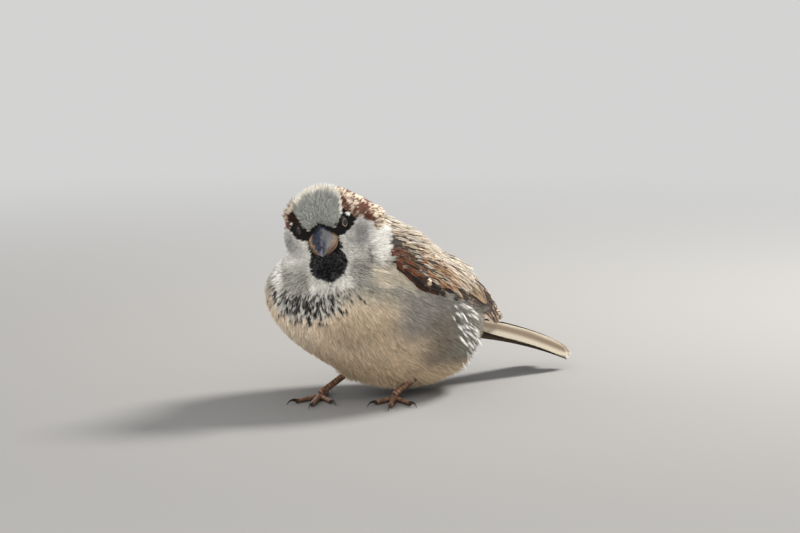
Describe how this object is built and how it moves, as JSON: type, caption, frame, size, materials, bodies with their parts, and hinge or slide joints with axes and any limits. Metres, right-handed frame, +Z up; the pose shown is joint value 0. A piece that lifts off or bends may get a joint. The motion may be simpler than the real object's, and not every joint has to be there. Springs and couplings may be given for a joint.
{
  "type": "house sparrow",
  "caption": "Life-size still figure of a male house sparrow, standing with fluffed plumage and folded wings, its head turned to its left.",
  "frame": {"origin": "on the ground, under the middle of the bird's own box", "axes": "+Z up, -Y the way the bird's body faces, +X its own left side"},
  "size_m": [0.0548, 0.1236, 0.0669],
  "materials": {
    "plumage": "soft body feathers: grey crown, chestnut sides of the head, black bib, white cheeks, buff-grey belly",
    "wing_coverts": "small wing feathers, chestnut and black with rufous-buff edges and a white bar",
    "flight_feathers": "stiff vanes, dark brown with rufous-buff edges",
    "tail_feathers": "stiff vanes, grey-brown with paler edges",
    "bill": "smooth horn, slate grey above, ochre at the sides below",
    "eye": "wet, very dark brown",
    "leg": "horny scales, orange-brown, with a dull sheen",
    "claw": "dark glossy horn"
  },
  "bodies": {
    "root": {"head": "plumage", "neck": "plumage", "trunk": "plumage", "rump": "plumage", "thigh_left": "plumage", "thigh_right": "plumage", "wing_left_coverts": "wing_coverts", "wing_right_coverts": "wing_coverts", "wing_left_tertials": "flight_feathers", "wing_left_primaries": "flight_feathers", "wing_right_tertials": "flight_feathers", "wing_right_primaries": "flight_feathers", "tail_middle": "tail_feathers", "tail_left": "tail_feathers", "tail_right": "tail_feathers", "bill_upper": "bill", "bill_lower": "bill", "eye_left": "eye", "eye_right": "eye", "tarsus_left": "leg", "tarsus_right": "leg", "toe_left_middle": "leg", "toe_left_inner": "leg", "toe_left_outer": "leg", "toe_left_hind": "leg", "toe_right_middle": "leg", "toe_right_inner": "leg", "toe_right_outer": "leg", "toe_right_hind": "leg", "claw_left_middle": "claw", "claw_left_inner": "claw", "claw_left_outer": "claw", "claw_left_hind": "claw", "claw_right_middle": "claw", "claw_right_inner": "claw", "claw_right_outer": "claw", "claw_right_hind": "claw"}
  },
  "joints": []
}
